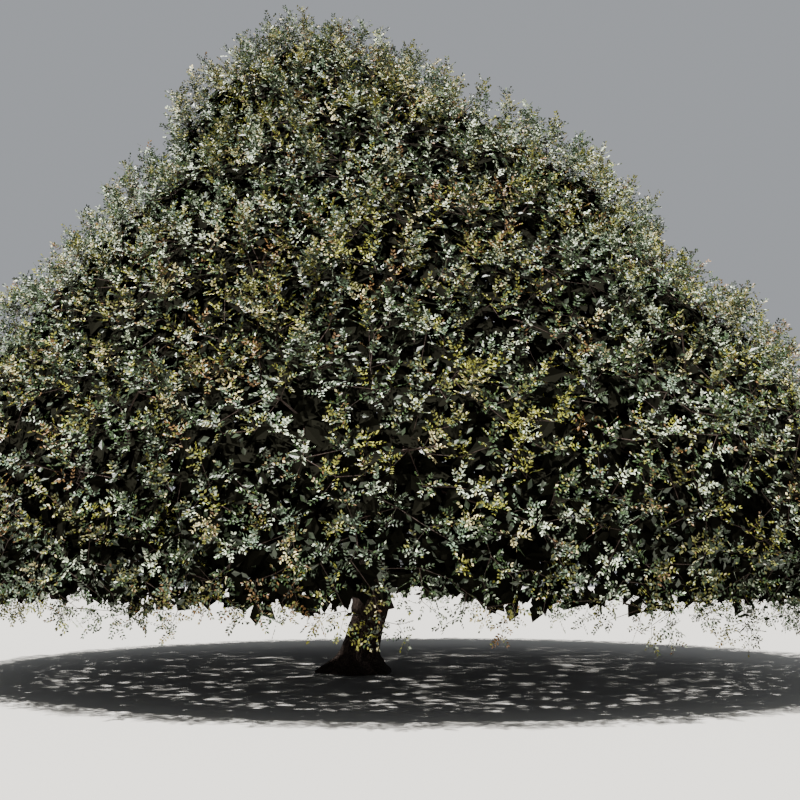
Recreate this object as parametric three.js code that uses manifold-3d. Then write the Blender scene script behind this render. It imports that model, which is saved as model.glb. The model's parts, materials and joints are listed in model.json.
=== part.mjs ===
// Carob tree in full leaf, rooted in level ground, about 10 m tall and 14 m across.
// A short leaning trunk with a root flare forks low down into spreading boughs. Each bough carries one mass
// of evergreen foliage, and the masses stand in four rings that make a broad dome, bare and dark inside.
// Millimetres, +Z up. The origin is the middle of the flat cut under the trunk, at ground level.
// The broad side of the crown is seen along +Y, with +X to the right.
import * as THREE from "three";
import { mergeVertices } from "three/addons/utils/BufferGeometryUtils.js";
import Module from "manifold-3d";

const wasm = await Module();
wasm.setup();

// Crown
const TREE_HEIGHT = 10240;
const CROWN_HALF_WIDTH = 7190;
const CROWN_DEPTH_SHARE = 0.93; // depth along Y over width along X
const WIDEST_AT = 2830; // height at which the crown is widest
const DOME_RISE = 1.04; // with 1 here and below the dome is a cone, with 2 an ellipsoid
const DOME_ROUND = 1.4;
const LEAN_LOW = 480; // the crown's middle, from the trunk, at its widest height
const LEAN_SLOPE = -0.051; // its drift with height above that
const LEAN_BEND = { from: 6900, to: 9300, shift: -820 }; // and the uppermost crown's own lean
// Where the dome is pressed in, round a bearing from +X. spread is in degrees, tall in height.
const DENTS = [
  { bearing: 205, height: 7640, depth: 700, spread: 30, tall: 300 },
  { bearing: 345, height: 5740, depth: 520, spread: 30, tall: 550 },
];
const SKIRT_FOOT = 930; // lowest leaves above the ground, under the trunk's foot
const SKIRT_SLOPE = -0.035; // the skirt hangs lower to the +X side
const SKIRT_TUCK = 0.16; // how far the crown narrows from its widest height to its foot
const LEADER_RISE = 260; // how far the uppermost shoots stand out of the dome

// Rings of foliage masses, from the top down. turn is the first mass's bearing from +X, tilt the rise of
// the way a mass faces, deep and tall its half sizes along that way and across it.
const RINGS = [
  { name: "top", count: 4, height: 8350, turn: 200, tilt: 48, deep: 1300, tall: 2300 },
  { name: "upper", count: 6, height: 6450, turn: 30, tilt: 42, deep: 1250, tall: 1800 },
  { name: "middle", count: 8, height: 4550, turn: 17, tilt: 33, deep: 1250, tall: 1850 },
  { name: "skirt", count: 9, height: 2550, turn: 30, tilt: 6, deep: 1300, tall: 1950 },
];
const OVERLAP = 1.25; // a mass's half width over half of the ring's spacing at its face
const TURN_JITTER = 5; // degrees
const HEIGHT_JITTER = 240;
const SIZE_JITTER = 0.08;
const BLOCKINESS = 3.2; // 2 makes each mass an ellipsoid, more a block with round edges

// Foliage inside one mass
const CORE_SET_IN = 390; // from the mass's faces to its dense heart
const CORE_LUMPS = 0.08;
const CORE_ROOM = 0.92; // and the heart fills at most this share of the room up to the next mass
const TWIGS_A_MASS = 10;
const TWIG_CAP = 1.3; // how far round from its outward way a mass has twigs: 2 is all round
const TWIG_ROOT_SHARE = 0.55;
const LEAST_SHARE = 0.1;
const TWIG_THICK = 34;
const TWIG_THIN = 14;
const SPRAY_LENGTH = 780; // one leaf solid stands for a whole spray
const SPRAY_WIDTH = 430;
const SPRAY_THICK = 84;
const SPRAY_ROLL = 50; // degrees that a spray's blade is turned from level, to either hand
const SPRAY_LEAST = 0.55; // a spray is cut to this share of its length before it is left out
const SPRAY_ON_TWIG = 0.55; // share of a spray's length along which its twig runs
const SIDE_SPRAY_SHARE = 0.86;
const LEADER_STRETCH = 1.2; // shoots that stand up out of the crown's top
const CELL_GAP = 20; // kept clear between a mass and the plane that parts it from the next

// Trunk
const TRUNK_RADIUS = 285;
const FORK_HEIGHT = 990;
const FORK_RADIUS = 245;
const TRUNK_LEAN = 220; // how far the fork stands to the +X side of the foot
const FLARE_HEIGHT = 185;
const FLARE_POWER = 1.6; // above 1 the flare is blunt near the ground
const FLARE_REACH = 150;
const ROOTS = [
  { bearing: 183, reach: 210, spread: 26 },
  { bearing: 262, reach: 130, spread: 26 },
  { bearing: 322, reach: 120, spread: 24 },
  { bearing: 28, reach: 100, spread: 26 },
  { bearing: 104, reach: 170, spread: 27 },
];
const TRUNK_SIDES = 24;
const TRUNK_STEPS = 8;

// Boughs
const TIP_RADIUS = 40;
const RADIUS_PER_MASS = 48; // a bough that feeds n masses is this times the root of n thick at its base
const MOST_FROM_TRUNK = 4;
const TIP_SET_BACK = 1.12; // how far a bough's tip stops from a mass's middle, over its heart's size
const FORK_SPOTS = [0.26, 0.36, 0.46, 0.56, 0.66]; // where a bough may leave another, along it
const FORK_SPACING = 0.09;
const WAY_BACK_COST = 0.5; // what each millimetre back to the trunk costs when a bough picks its root
const BOUGH_SIDES = 6;
const BOUGH_STEPS = 5;
const SEAT_GAP = 0.35; // between faces that meet
const LIMB_CLEARANCE = 30; // between leaves and limbs

const BARK = { color: 0x5a4636, roughness: 0.95, metalness: 0 };
const LEAF_TINTS = [0x4f5a34, 0x59623a, 0x485330, 0x636a40];

const UP = new THREE.Vector3(0, 0, 1);
const radians = THREE.MathUtils.degToRad;

function seeded(seed) {
  let state = seed % 2147483647;
  const next = () => (state = (state * 16807) % 2147483647) / 2147483647;
  for (let i = 0; i < 3; i++) next();
  return next;
}
const swing = (random, amount) => (random() * 2 - 1) * amount;

// A closed geometry as a solid: only positions are kept, so that shared corners merge.
function solidOf(geometry) {
  const bare = geometry.index ? geometry.toNonIndexed() : geometry.clone();
  bare.deleteAttribute("normal");
  bare.deleteAttribute("uv");
  const merged = mergeVertices(bare, 1e-3);
  return new wasm.Manifold(
    new wasm.Mesh({
      numProp: 3,
      vertProperties: new Float32Array(merged.attributes.position.array),
      triVerts: new Uint32Array(merged.index.array),
    }),
  );
}

function geometryOf(solid) {
  const mesh = solid.getMesh();
  const geometry = new THREE.BufferGeometry();
  geometry.setAttribute("position", new THREE.BufferAttribute(mesh.vertProperties, 3));
  geometry.setIndex(new THREE.BufferAttribute(mesh.triVerts, 1));
  return geometry;
}

// The largest of the separate pieces that a cut leaves.
function largest(solid) {
  return solid.decompose().reduce((a, b) => (b.volume() > a.volume() ? b : a));
}

// Moves each vertex of a geometry to where place(vertex) says.
function warp(geometry, place) {
  const position = geometry.attributes.position;
  const v = new THREE.Vector3();
  for (let i = 0; i < position.count; i++) {
    const moved = place(v.fromBufferAttribute(position, i));
    position.setXYZ(i, moved.x, moved.y, moved.z);
  }
  return geometry;
}

// The crown's middle and half width at a height.
function crownMiddle(z) {
  const bend = THREE.MathUtils.smoothstep(z, LEAN_BEND.from, LEAN_BEND.to);
  return LEAN_LOW + LEAN_SLOPE * Math.max(0, z - WIDEST_AT) + LEAN_BEND.shift * bend;
}
function crownRadius(z) {
  const u = (z - WIDEST_AT) / (TREE_HEIGHT - WIDEST_AT);
  if (u > 0) return CROWN_HALF_WIDTH * (1 - Math.min(1, u) ** DOME_RISE) ** (1 / DOME_ROUND);
  const v = (WIDEST_AT - z) / (WIDEST_AT - SKIRT_FOOT);
  return CROWN_HALF_WIDTH * (1 - SKIRT_TUCK * v * v);
}
function dentDepth(bearing, z) {
  return DENTS.reduce((sum, dent) => {
    const off = ((bearing - dent.bearing + 540) % 360) - 180;
    return sum + dent.depth * Math.exp(-((off / dent.spread) ** 2) - ((z - dent.height) / dent.tall) ** 2);
  }, 0);
}
function insideCrown(point, rise) {
  const z = point.z - rise;
  if (z > TREE_HEIGHT || point.z < SKIRT_FOOT + SKIRT_SLOPE * point.x) return false;
  const x = point.x - crownMiddle(z);
  const y = point.y / CROWN_DEPTH_SHARE;
  const bearing = THREE.MathUtils.radToDeg(Math.atan2(y, x)) + 360;
  return Math.hypot(x, y) < crownRadius(z) - dentDepth(bearing, z);
}

// The masses: each an ellipsoid with its own axes, facing out of the crown.
function foliageMasses() {
  const masses = [];
  for (const [ringIndex, ring] of RINGS.entries()) {
    for (let j = 0; j < ring.count; j++) {
      const seed = 7001 * (ringIndex + 1) + 613 * (j + 1);
      const random = seeded(seed);
      const bearing = radians(ring.turn + (360 * j) / ring.count + swing(random, TURN_JITTER));
      const z = ring.height + swing(random, HEIGHT_JITTER);
      const size = 1 + swing(random, SIZE_JITTER);
      const tilt = radians(ring.tilt);
      const flat = new THREE.Vector3(Math.cos(bearing), Math.sin(bearing), 0);
      const out = flat.clone().multiplyScalar(Math.cos(tilt)).addScaledVector(UP, Math.sin(tilt));
      const across = new THREE.Vector3(-flat.y, flat.x, 0);
      const along = new THREE.Vector3().crossVectors(out, across);
      const faceHeight = z + ring.deep * Math.sin(tilt);
      const faceRadius = crownRadius(faceHeight);
      const ringRadius = faceRadius - ring.deep * Math.cos(tilt);
      const center = new THREE.Vector3(
        crownMiddle(faceHeight) + ringRadius * flat.x,
        CROWN_DEPTH_SHARE * ringRadius * flat.y,
        z,
      );
      const wide = ((Math.PI * faceRadius) / ring.count) * OVERLAP;
      masses.push({
        name: `${ring.name}_foliage_${j + 1}`,
        ring: ring.name,
        index: j + 1,
        seed,
        center,
        out,
        across,
        along,
        half: [ring.deep * size, wide * size, ring.tall * size],
        planes: [],
      });
    }
  }
  return masses;
}

// A point at a share of the mass's size, from a direction given in its own axes. setIn makes the size smaller.
function onMass(mass, way, share, setIn = 0) {
  const spread = way.reduce((sum, x) => sum + Math.abs(x) ** BLOCKINESS, 0) ** (1 / BLOCKINESS);
  const [a, b, c] = way.map((x, i) => ((mass.half[i] - setIn) * x * share) / spread);
  return mass.center
    .clone()
    .addScaledVector(mass.out, a)
    .addScaledVector(mass.across, b)
    .addScaledVector(mass.along, c);
}

// How far the mass reaches along a direction, and how far its heart's face lies from its middle that way.
function localAxes(mass, way) {
  return [way.dot(mass.out), way.dot(mass.across), way.dot(mass.along)];
}
function support(mass, way) {
  return Math.hypot(...localAxes(mass, way).map((x, i) => x * mass.half[i]));
}
function coreAt(mass, way) {
  return 1 / Math.hypot(...localAxes(mass, way).map((x, i) => x / (mass.half[i] - CORE_SET_IN)));
}

// Two masses that meet are parted by a plane, and each keeps to its own side.
function partMasses(masses) {
  masses.forEach((one, i) => {
    for (const two of masses.slice(i + 1)) {
      const way = two.center.clone().sub(one.center);
      const apart = way.length();
      way.normalize();
      const reachOne = support(one, way);
      const reachTwo = support(two, way);
      if (apart > (reachOne + reachTwo) * LEADER_STRETCH) continue;
      const at = one.center.dot(way) + (apart * reachOne) / (reachOne + reachTwo);
      one.planes.push({ way, at });
      two.planes.push({ way: way.clone().negate(), at: -at });
    }
  });
}

function insideCell(mass, point, rise = 0) {
  return insideCrown(point, rise) && mass.planes.every(({ way, at }) => point.dot(way) < at - CELL_GAP);
}

// The farthest share of the mass's size, up to the one wanted, that lies in its own space along a direction.
function shareInside(mass, way, wanted, rise = 0, setIn = 0) {
  let share = wanted;
  while (share > LEAST_SHARE && !insideCell(mass, onMass(mass, way, share, setIn), rise)) share *= 0.985;
  return share;
}

// The line of the trunk: a slight lean that grows with height.
function trunkMiddle(z) {
  return TRUNK_LEAN * (z / FORK_HEIGHT) ** 1.6;
}
function trunkRadius(bearing, z) {
  const up = Math.min(1, z / FORK_HEIGHT);
  const shaft = TRUNK_RADIUS + (FORK_RADIUS - TRUNK_RADIUS) * up;
  let roots = 0;
  for (const root of ROOTS) {
    const off = ((bearing - root.bearing + 540) % 360) - 180;
    roots += root.reach * Math.exp(-((off / root.spread) ** 2));
  }
  const fade = Math.exp(-((z / FLARE_HEIGHT) ** FLARE_POWER));
  return shaft + FLARE_REACH * fade + roots * fade;
}

function makeTrunk(grow = 0) {
  const dome = 0.86; // share of the steps below the rounded head
  const cylinder = new THREE.CylinderGeometry(1, 1, 1, TRUNK_SIDES, TRUNK_STEPS);
  return warp(cylinder, (v) => {
    const up = v.y + 0.5;
    const share = Math.hypot(v.x, v.z);
    const low = Math.min(1, up / dome);
    const head = Math.max(0, (up - dome) / (1 - dome));
    const z = FORK_HEIGHT * low ** 1.5 + FORK_RADIUS * 0.55 * Math.sin((head * Math.PI) / 2);
    const close = 1 - 0.55 * head * head;
    const bearing = THREE.MathUtils.radToDeg(Math.atan2(-v.z, v.x));
    const radius = share > 0.5 ? trunkRadius(bearing, Math.min(z, FORK_HEIGHT)) * close + grow : 0;
    const across = bearing * (Math.PI / 180);
    const top = up > 0.999 ? grow : 0;
    const foot = up < 0.001 ? grow : 0;
    return v.set(
      trunkMiddle(z) + radius * Math.cos(across),
      radius * Math.sin(across),
      z + top - foot,
    );
  });
}

// One limb is a bent cone: a Bezier curve with a radius that falls from its base to its tip.
function limbPoint(limb, t) {
  return limb.curve.getPoint(t);
}
function limbRadius(limb, t) {
  return limb.baseRadius + (TIP_RADIUS - limb.baseRadius) * t ** 0.85;
}

function makeLimb(limb, grow = 0) {
  const cylinder = new THREE.CylinderGeometry(1, 1, 1, BOUGH_SIDES, BOUGH_STEPS);
  return warp(cylinder, (v) => {
    const t = v.y + 0.5;
    const along = limb.curve.getTangent(t);
    const side = new THREE.Vector3().crossVectors(along, limb.reference).normalize();
    const rise = new THREE.Vector3().crossVectors(side, along);
    const radius = limbRadius(limb, t) + grow;
    const at = limbPoint(limb, t);
    if (t > 0.999) at.addScaledVector(along, grow);
    return at.addScaledVector(side, v.x * radius).addScaledVector(rise, v.z * radius);
  });
}

// Each mass gets a bough from the place on the limbs made so far that costs least to reach it from.
function growBoughs(masses) {
  const fork = new THREE.Vector3(trunkMiddle(FORK_HEIGHT), 0, FORK_HEIGHT - 90);
  const limbs = [];
  for (const mass of masses) {
    const fromTrunk = limbs.filter((limb) => !limb.parent).length;
    const spots = [];
    if (fromTrunk < MOST_FROM_TRUNK) {
      spots.push({ parent: null, t: 0, at: fork, way: new THREE.Vector3(0.1, 0, 1).normalize(), back: 0 });
    }
    for (const limb of limbs) {
      for (const t of FORK_SPOTS) {
        if (limb.forks.some((used) => Math.abs(used - t) < FORK_SPACING)) continue;
        const back = limb.back + limb.length * t;
        spots.push({ parent: limb, t, at: limbPoint(limb, t), way: limb.curve.getTangent(t), back });
      }
    }
    const cost = (spot) => {
      const way = mass.center.clone().sub(spot.at);
      const reach = way.length();
      const turn = 1 - way.normalize().dot(spot.way);
      return reach * (1 + 0.5 * turn) + spot.back * WAY_BACK_COST;
    };
    const spot = spots.reduce((a, b) => (cost(b) < cost(a) ? b : a));
    const way = mass.center.clone().sub(spot.at).normalize();
    const enter = way.clone().addScaledVector(mass.out, 0.5).normalize();
    const tip = mass.center
      .clone()
      .addScaledVector(enter, -coreAt(mass, enter) * TIP_SET_BACK - 40);
    const reach = tip.distanceTo(spot.at);
    const leave = way.clone().addScaledVector(spot.way, 0.45).addScaledVector(UP, 0.3).normalize();
    const curve = new THREE.CubicBezierCurve3(
      spot.at,
      spot.at.clone().addScaledVector(leave, reach * 0.36),
      tip.clone().addScaledVector(enter, -reach * 0.34),
      tip,
    );
    const limb = {
      name: `${mass.ring}_bough_${mass.index}`,
      mass,
      parent: spot.parent,
      curve,
      length: curve.getLength(),
      back: spot.back,
      enter,
      tip,
      forks: [],
      feeds: 1,
      reference: Math.abs(way.z) > 0.8 ? new THREE.Vector3(1, 0, 0) : UP,
    };
    if (spot.parent) spot.parent.forks.push(spot.t);
    limb.from = spot.t;
    for (let up = spot.parent; up; up = up.parent) up.feeds += 1;
    limbs.push(limb);
    mass.limb = limb;
  }
  for (const limb of limbs) {
    const own = RADIUS_PER_MASS * Math.sqrt(limb.feeds);
    limb.baseRadius = limb.parent ? Math.min(own, 0.84 * limbRadius(limb.parent, limb.from)) : own;
  }
  return limbs;
}

// Distance from a point to a limb's bark, less than zero inside it.
function barkDistance(limb, point) {
  let least = Infinity;
  for (let i = 0; i <= 24; i++) {
    const t = i / 24;
    least = Math.min(least, limbPoint(limb, t).distanceTo(point) - limbRadius(limb, t));
  }
  return least;
}

function clearOfLimbs(limbs, points) {
  return points.every((p) => limbs.every((limb) => barkDistance(limb, p) > LIMB_CLEARANCE));
}

// The mass's heart: a lumpy ball, drawn in where it would cross into the next mass.
function makeCore(mass, random) {
  const ball = mergeVertices(new THREE.IcosahedronGeometry(1, 1).deleteAttribute("normal").deleteAttribute("uv"));
  return warp(ball, (v) => {
    const way = v.toArray();
    const wanted = (1 + swing(random, CORE_LUMPS)) / CORE_ROOM;
    const share = CORE_ROOM * shareInside(mass, way, wanted, 0, CORE_SET_IN);
    return v.copy(onMass(mass, way, share, CORE_SET_IN));
  });
}

// A spray stands for a shoot with its leaves: a flat blade of eight faces, widest before its middle.
function sprayPoints(root, way, roll, length, width) {
  const side = new THREE.Vector3().crossVectors(way, UP).normalize().applyAxisAngle(way, roll);
  const face = new THREE.Vector3().crossVectors(side, way);
  const at = (along, across, off) =>
    root
      .clone()
      .addScaledVector(way, along * length)
      .addScaledVector(side, across)
      .addScaledVector(face, off);
  return {
    tip: at(1, 0, 0),
    root: at(0, 0, 0),
    right: at(0.5, width / 2, 0),
    left: at(0.46, -width / 2, 0),
    top: at(0.42, 0, SPRAY_THICK / 2),
    under: at(0.42, 0, -SPRAY_THICK / 2),
  };
}
// A spray that would leave the mass's space or touch a limb is made shorter, and left out if that isn't enough.
function fittedSpray(mass, limbs, spray, rise) {
  for (let length = spray.length; length > spray.length * SPRAY_LEAST; length *= 0.9) {
    const width = (SPRAY_WIDTH * length) / spray.length;
    const points = sprayPoints(spray.root, spray.way, spray.roll, length, width);
    const corners = [points.tip, points.right, points.left, points.top, points.under];
    if (corners.every((p) => insideCell(mass, p, rise)) && clearOfLimbs(limbs, corners)) return points;
  }
  return null;
}

function makeSpray(points) {
  return warp(new THREE.OctahedronGeometry(1, 0), (v) => {
    if (v.x > 0.5) return v.copy(points.tip);
    if (v.x < -0.5) return v.copy(points.root);
    if (v.y > 0.5) return v.copy(points.right);
    if (v.y < -0.5) return v.copy(points.left);
    return v.copy(v.z < 0 ? points.top : points.under);
  });
}

// A three-sided twig, thick at its root.
function makeTwig(root, tip, thick, thin) {
  const way = tip.clone().sub(root);
  const length = way.length();
  way.normalize();
  const side = new THREE.Vector3().crossVectors(way, Math.abs(way.z) > 0.9 ? new THREE.Vector3(1, 0, 0) : UP);
  side.normalize();
  const rise = new THREE.Vector3().crossVectors(side, way);
  return warp(new THREE.CylinderGeometry(1, 1, 1, 3, 1), (v) => {
    const t = v.y + 0.5;
    const radius = thick + (thin - thick) * t;
    return v.copy(
      root
        .clone()
        .addScaledVector(way, length * t)
        .addScaledVector(side, v.x * radius)
        .addScaledVector(rise, v.z * radius),
    );
  });
}

// The twigs of a mass, evenly turned about the way that it faces, each with a spray at its tip and one on
// one side.
function twigsOf(mass, random) {
  const golden = Math.PI * (3 - Math.sqrt(5));
  const twigs = [];
  for (let k = 0; k < TWIGS_A_MASS; k++) {
    const facing = 1 - (TWIG_CAP * (k + 0.45)) / TWIGS_A_MASS + swing(random, 0.06);
    const turn = k * golden + swing(random, 0.2);
    const aslant = Math.sqrt(Math.max(0, 1 - facing * facing));
    const way = [facing, aslant * Math.cos(turn), aslant * Math.sin(turn)];
    const outward = onMass(mass, way, 1).sub(mass.center).normalize();
    const leader = mass.ring === "top" && outward.z > 0.3;
    const rise = leader ? LEADER_RISE : 0;
    const room = shareInside(mass, way, leader ? LEADER_STRETCH : 1, rise);
    const root = onMass(mass, way, TWIG_ROOT_SHARE * Math.min(1, room));
    const end = onMass(mass, way, room * 0.99);
    const lift = 0.25 + swing(random, 0.15);
    const sprays = [];
    const grow = end.clone().sub(root).normalize().addScaledVector(UP, leader ? 0.6 : lift).normalize();
    const reach = SPRAY_LENGTH * (1 + swing(random, 0.12)) * (leader ? 1.15 : 1);
    const tip = end.clone().addScaledVector(grow, -reach * (1 - SPRAY_ON_TWIG));
    const hand = k % 2 ? 1 : -1;
    const roll = hand * radians(SPRAY_ROLL);
    sprays.push({ root: end.clone().addScaledVector(grow, -reach), way: grow, roll, length: reach });
    const start = root.clone().lerp(tip, 0.86 + swing(random, 0.1));
    const side = new THREE.Vector3().crossVectors(grow, UP).normalize().multiplyScalar(hand);
    const aside = side.applyAxisAngle(grow, swing(random, 0.7));
    const fan = grow.clone().multiplyScalar(0.8).addScaledVector(aside, 0.75).normalize();
    sprays.push({ root: start, way: fan, roll: -roll, length: reach * SIDE_SPRAY_SHARE });
    twigs.push({ root, tip, rise, sprays });
  }
  return twigs;
}

function makeMass(mass, limbs, fatLimbs) {
  const core = solidOf(makeCore(mass, seeded(mass.seed + 17)));
  const stemRoot = mass.limb.tip.clone().addScaledVector(mass.limb.enter, SEAT_GAP);
  const stemTip = mass.limb.tip.clone().lerp(mass.center, 0.75);
  const pieces = [core, solidOf(makeTwig(stemRoot, stemTip, TIP_RADIUS * 0.95, TWIG_THICK))];
  for (const twig of twigsOf(mass, seeded(mass.seed + 31))) {
    const middle = twig.root.clone().lerp(twig.tip, 0.6);
    if (!clearOfLimbs(limbs, [twig.tip, middle])) continue;
    pieces.push(solidOf(makeTwig(twig.root, twig.tip, TWIG_THICK, TWIG_THIN)));
    for (const spray of twig.sprays) {
      const points = fittedSpray(mass, limbs, spray, twig.rise);
      if (points) pieces.push(solidOf(makeSpray(points)));
    }
  }
  let whole = wasm.Manifold.union(pieces);
  for (const [limb, fat] of fatLimbs) {
    if (limb === mass.limb) continue;
    if (whole.intersect(fat).volume() > 0) whole = whole.subtract(fat);
  }
  return largest(whole);
}

const masses = foliageMasses();
partMasses(masses);
const limbs = growBoughs(masses);

const tree = new THREE.Group();
const barkMaterial = new THREE.MeshStandardMaterial(BARK);
const leafMaterials = LEAF_TINTS.map(
  (color) => new THREE.MeshStandardMaterial({ color, roughness: 0.6, metalness: 0 }),
);

function addNode(name, solid, material) {
  const mesh = new THREE.Mesh(geometryOf(solid), material);
  mesh.name = name;
  tree.add(mesh);
}

addNode("trunk", solidOf(makeTrunk()), barkMaterial);
const seats = [solidOf(makeTrunk(SEAT_GAP))];
for (const limb of limbs) {
  let solid = solidOf(makeLimb(limb));
  for (const seat of seats) {
    if (solid.intersect(seat).volume() > 0) solid = solid.subtract(seat);
  }
  addNode(limb.name, largest(solid), barkMaterial);
  seats.push(solidOf(makeLimb(limb, SEAT_GAP)));
}

const fatLimbs = limbs.map((limb) => [limb, solidOf(makeLimb(limb, LIMB_CLEARANCE))]);
for (const [i, mass] of masses.entries()) {
  addNode(mass.name, makeMass(mass, limbs, fatLimbs), leafMaterials[i % leafMaterials.length]);
}

export default tree;
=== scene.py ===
import json
import math

import bpy
import numpy as np
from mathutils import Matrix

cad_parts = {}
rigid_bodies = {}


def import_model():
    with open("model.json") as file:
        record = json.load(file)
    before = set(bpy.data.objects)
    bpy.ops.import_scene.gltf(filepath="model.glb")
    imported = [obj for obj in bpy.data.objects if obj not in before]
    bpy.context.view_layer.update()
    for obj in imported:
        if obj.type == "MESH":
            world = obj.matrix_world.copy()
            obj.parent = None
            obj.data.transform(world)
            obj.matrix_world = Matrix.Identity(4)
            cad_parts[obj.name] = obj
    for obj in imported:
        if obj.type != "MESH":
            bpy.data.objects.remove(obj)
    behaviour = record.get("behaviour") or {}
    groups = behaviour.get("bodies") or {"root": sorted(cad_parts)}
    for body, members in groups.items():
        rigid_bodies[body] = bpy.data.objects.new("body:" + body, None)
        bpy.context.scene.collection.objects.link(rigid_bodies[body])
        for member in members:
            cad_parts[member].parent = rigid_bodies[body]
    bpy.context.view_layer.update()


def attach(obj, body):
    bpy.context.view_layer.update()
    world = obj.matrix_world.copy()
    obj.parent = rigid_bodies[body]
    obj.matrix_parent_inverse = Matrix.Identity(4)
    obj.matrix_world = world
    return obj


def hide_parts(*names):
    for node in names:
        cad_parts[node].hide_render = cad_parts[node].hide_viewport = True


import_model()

# Where the tree is seen from: a standing person's eye height, 17 m off, looking up into the crown.
# The floor is a plain pale disc that reaches past the view.
EYE = (0.62, -17.05, 1.605)
LOOK_UP = 8.21  # degrees
LENS = 50.67  # millimetres, as is the sensor's width
SENSOR = 36
FARTHEST_SEEN = 400
FLOOR_RADIUS = 60.0
FLOOR_SIDES = 96
FLOOR_DROP = 0.004  # keeps it clear of the trunk's cut
FLOOR_COLOUR = (0.42, 0.41, 0.39)

camera = bpy.data.objects.new("camera", bpy.data.cameras.new("camera"))
camera.location = EYE
camera.rotation_euler = (math.radians(90 + LOOK_UP), 0, 0)
camera.data.lens = LENS
camera.data.sensor_width = SENSOR
camera.data.clip_end = FARTHEST_SEEN
bpy.context.scene.collection.objects.link(camera)
bpy.context.scene.camera = camera


def mesh_object(name, points, triangles, materials, tints=None, smooth=False):
    """One object from arrays of points and of corner numbers, with a material number for each triangle."""
    mesh = bpy.data.meshes.new(name)
    count = len(triangles)
    mesh.vertices.add(len(points))
    mesh.vertices.foreach_set("co", np.ascontiguousarray(points, np.float32).ravel())
    mesh.loops.add(3 * count)
    mesh.loops.foreach_set("vertex_index", np.ascontiguousarray(triangles, np.int32).ravel())
    mesh.polygons.add(count)
    mesh.polygons.foreach_set("loop_start", np.arange(0, 3 * count, 3, dtype=np.int32))
    mesh.polygons.foreach_set("loop_total", np.full(count, 3, np.int32))
    for material in materials:
        mesh.materials.append(material)
    if tints is not None:
        mesh.polygons.foreach_set("material_index", np.ascontiguousarray(tints, np.int32))
    mesh.polygons.foreach_set("use_smooth", np.full(count, smooth, bool))
    mesh.update(calc_edges=True)
    piece = bpy.data.objects.new(name, mesh)
    bpy.context.scene.collection.objects.link(piece)
    return piece


def disc(radius, sides):
    turn = np.linspace(0, 2 * np.pi, sides, endpoint=False)
    rim = np.stack([radius * np.cos(turn), radius * np.sin(turn), 0 * turn], 1)
    corners = np.arange(sides)
    fan = np.stack([np.full(sides, sides), corners, np.roll(corners, -1)], 1)
    return np.vstack([rim, [[0, 0, 0]]]), fan


def plain_material(name, colour, roughness):
    material = bpy.data.materials.new(name)
    material.use_nodes = True
    shader = material.node_tree.nodes["Principled BSDF"]
    shader.inputs["Base Color"].default_value = (*colour, 1)
    shader.inputs["Roughness"].default_value = roughness
    return material


floor_material = plain_material("pale_floor", FLOOR_COLOUR, 0.9)
floor = mesh_object("floor", *disc(FLOOR_RADIUS, FLOOR_SIDES), [floor_material])
floor.location.z = -FLOOR_DROP

# Light: one key from high up on the left in front, and a pale even sky all round.
KEY_STRENGTH = 17.4
KEY_COLOUR = (1.0, 0.98, 0.93)
KEY_ANGLE = 1.5  # degrees across
KEY_TURN = (24, 0, -28)  # tilt from straight down, and bearing
SKY_COLOUR = (0.90, 0.94, 1.0)
SKY_STRENGTH = 0.41

key = bpy.data.objects.new("key_light", bpy.data.lights.new("key_light", "SUN"))
key.data.energy = KEY_STRENGTH
key.data.color = KEY_COLOUR
key.data.angle = math.radians(KEY_ANGLE)
key.rotation_euler = [math.radians(a) for a in KEY_TURN]
bpy.context.scene.collection.objects.link(key)
world = bpy.data.worlds.new("sky")
bpy.context.scene.world = world
world.use_nodes = True
sky = world.node_tree.nodes["Background"].inputs
sky["Color"].default_value = (*SKY_COLOUR, 1)
sky["Strength"].default_value = SKY_STRENGTH

# Trunk: live wood under thick furrowed bark, grown in one with the roots that flare out at the ground, and
# with the boughs that leave its head. It leans to the right and is cut flat at ground level.
TRUNK_RADIUS = 0.285
FORK_HEIGHT = 0.99
FORK_RADIUS = 0.245
TRUNK_LEAN = 0.22  # how far aside its middle lies at the fork
LEAN_POWER = 1.6
FLARE_HEIGHT = 0.185
FLARE_POWER = 1.6
FLARE_REACH = 0.15
HEAD_FROM = 0.86  # share of the trunk's rows that lie below its rounded head
HEAD_HEIGHT = 0.55  # of the head over the fork's radius
HEAD_TAPER = 0.55
HEAD_SMOOTHING = 0.6  # share of the furrows' depth that is lost over the head
ROW_CROWDING = 1.5  # above 1 the rows lie closer near the ground
ROOTS = [  # bearing in degrees, reach in metres, spread in degrees
    (183, 0.210, 26),
    (262, 0.130, 26),
    (322, 0.120, 24),
    (28, 0.100, 26),
    (104, 0.170, 27),
]
TRUNK_AROUND = 130
TRUNK_UP = 96
TRUNK_PLATES = 26  # bark plates side by side round the trunk
TRUNK_BARK_LENGTH = 1.3
TRUNK_BARK_SEED = 11
FURROW_DEPTH = 0.016
FURROW_WANDER = 0.035  # in turns, how far furrows wander aside as they run up
WANDERS_AROUND = 5
WANDERS_A_METRE = 4
PLATES_A_METRE = 7
CRACKS_A_METRE = 22
PLATE_SHARPNESS = 0.7
# The bark's tones are partly its own and partly painted shade of the crown overhead, so they are darker all
# over.
BARK_DARK = (0.016, 0.009, 0.007)
BARK_MID = (0.044, 0.029, 0.023)
BARK_PALE = (0.102, 0.078, 0.062)
BARK_BLEACHED = (0.085, 0.074, 0.064)
GRAIN_STRETCH = (1, 1, 0.28)  # makes the bark's grain longer upwards
GRAIN_SCALE = 34
FURROW_SCALE = 26
PATCH_SCALE = 3.2  # of the bleached patches
BARK_GLOSS = 0.25
BARK_BUMP = 0.9


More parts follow.
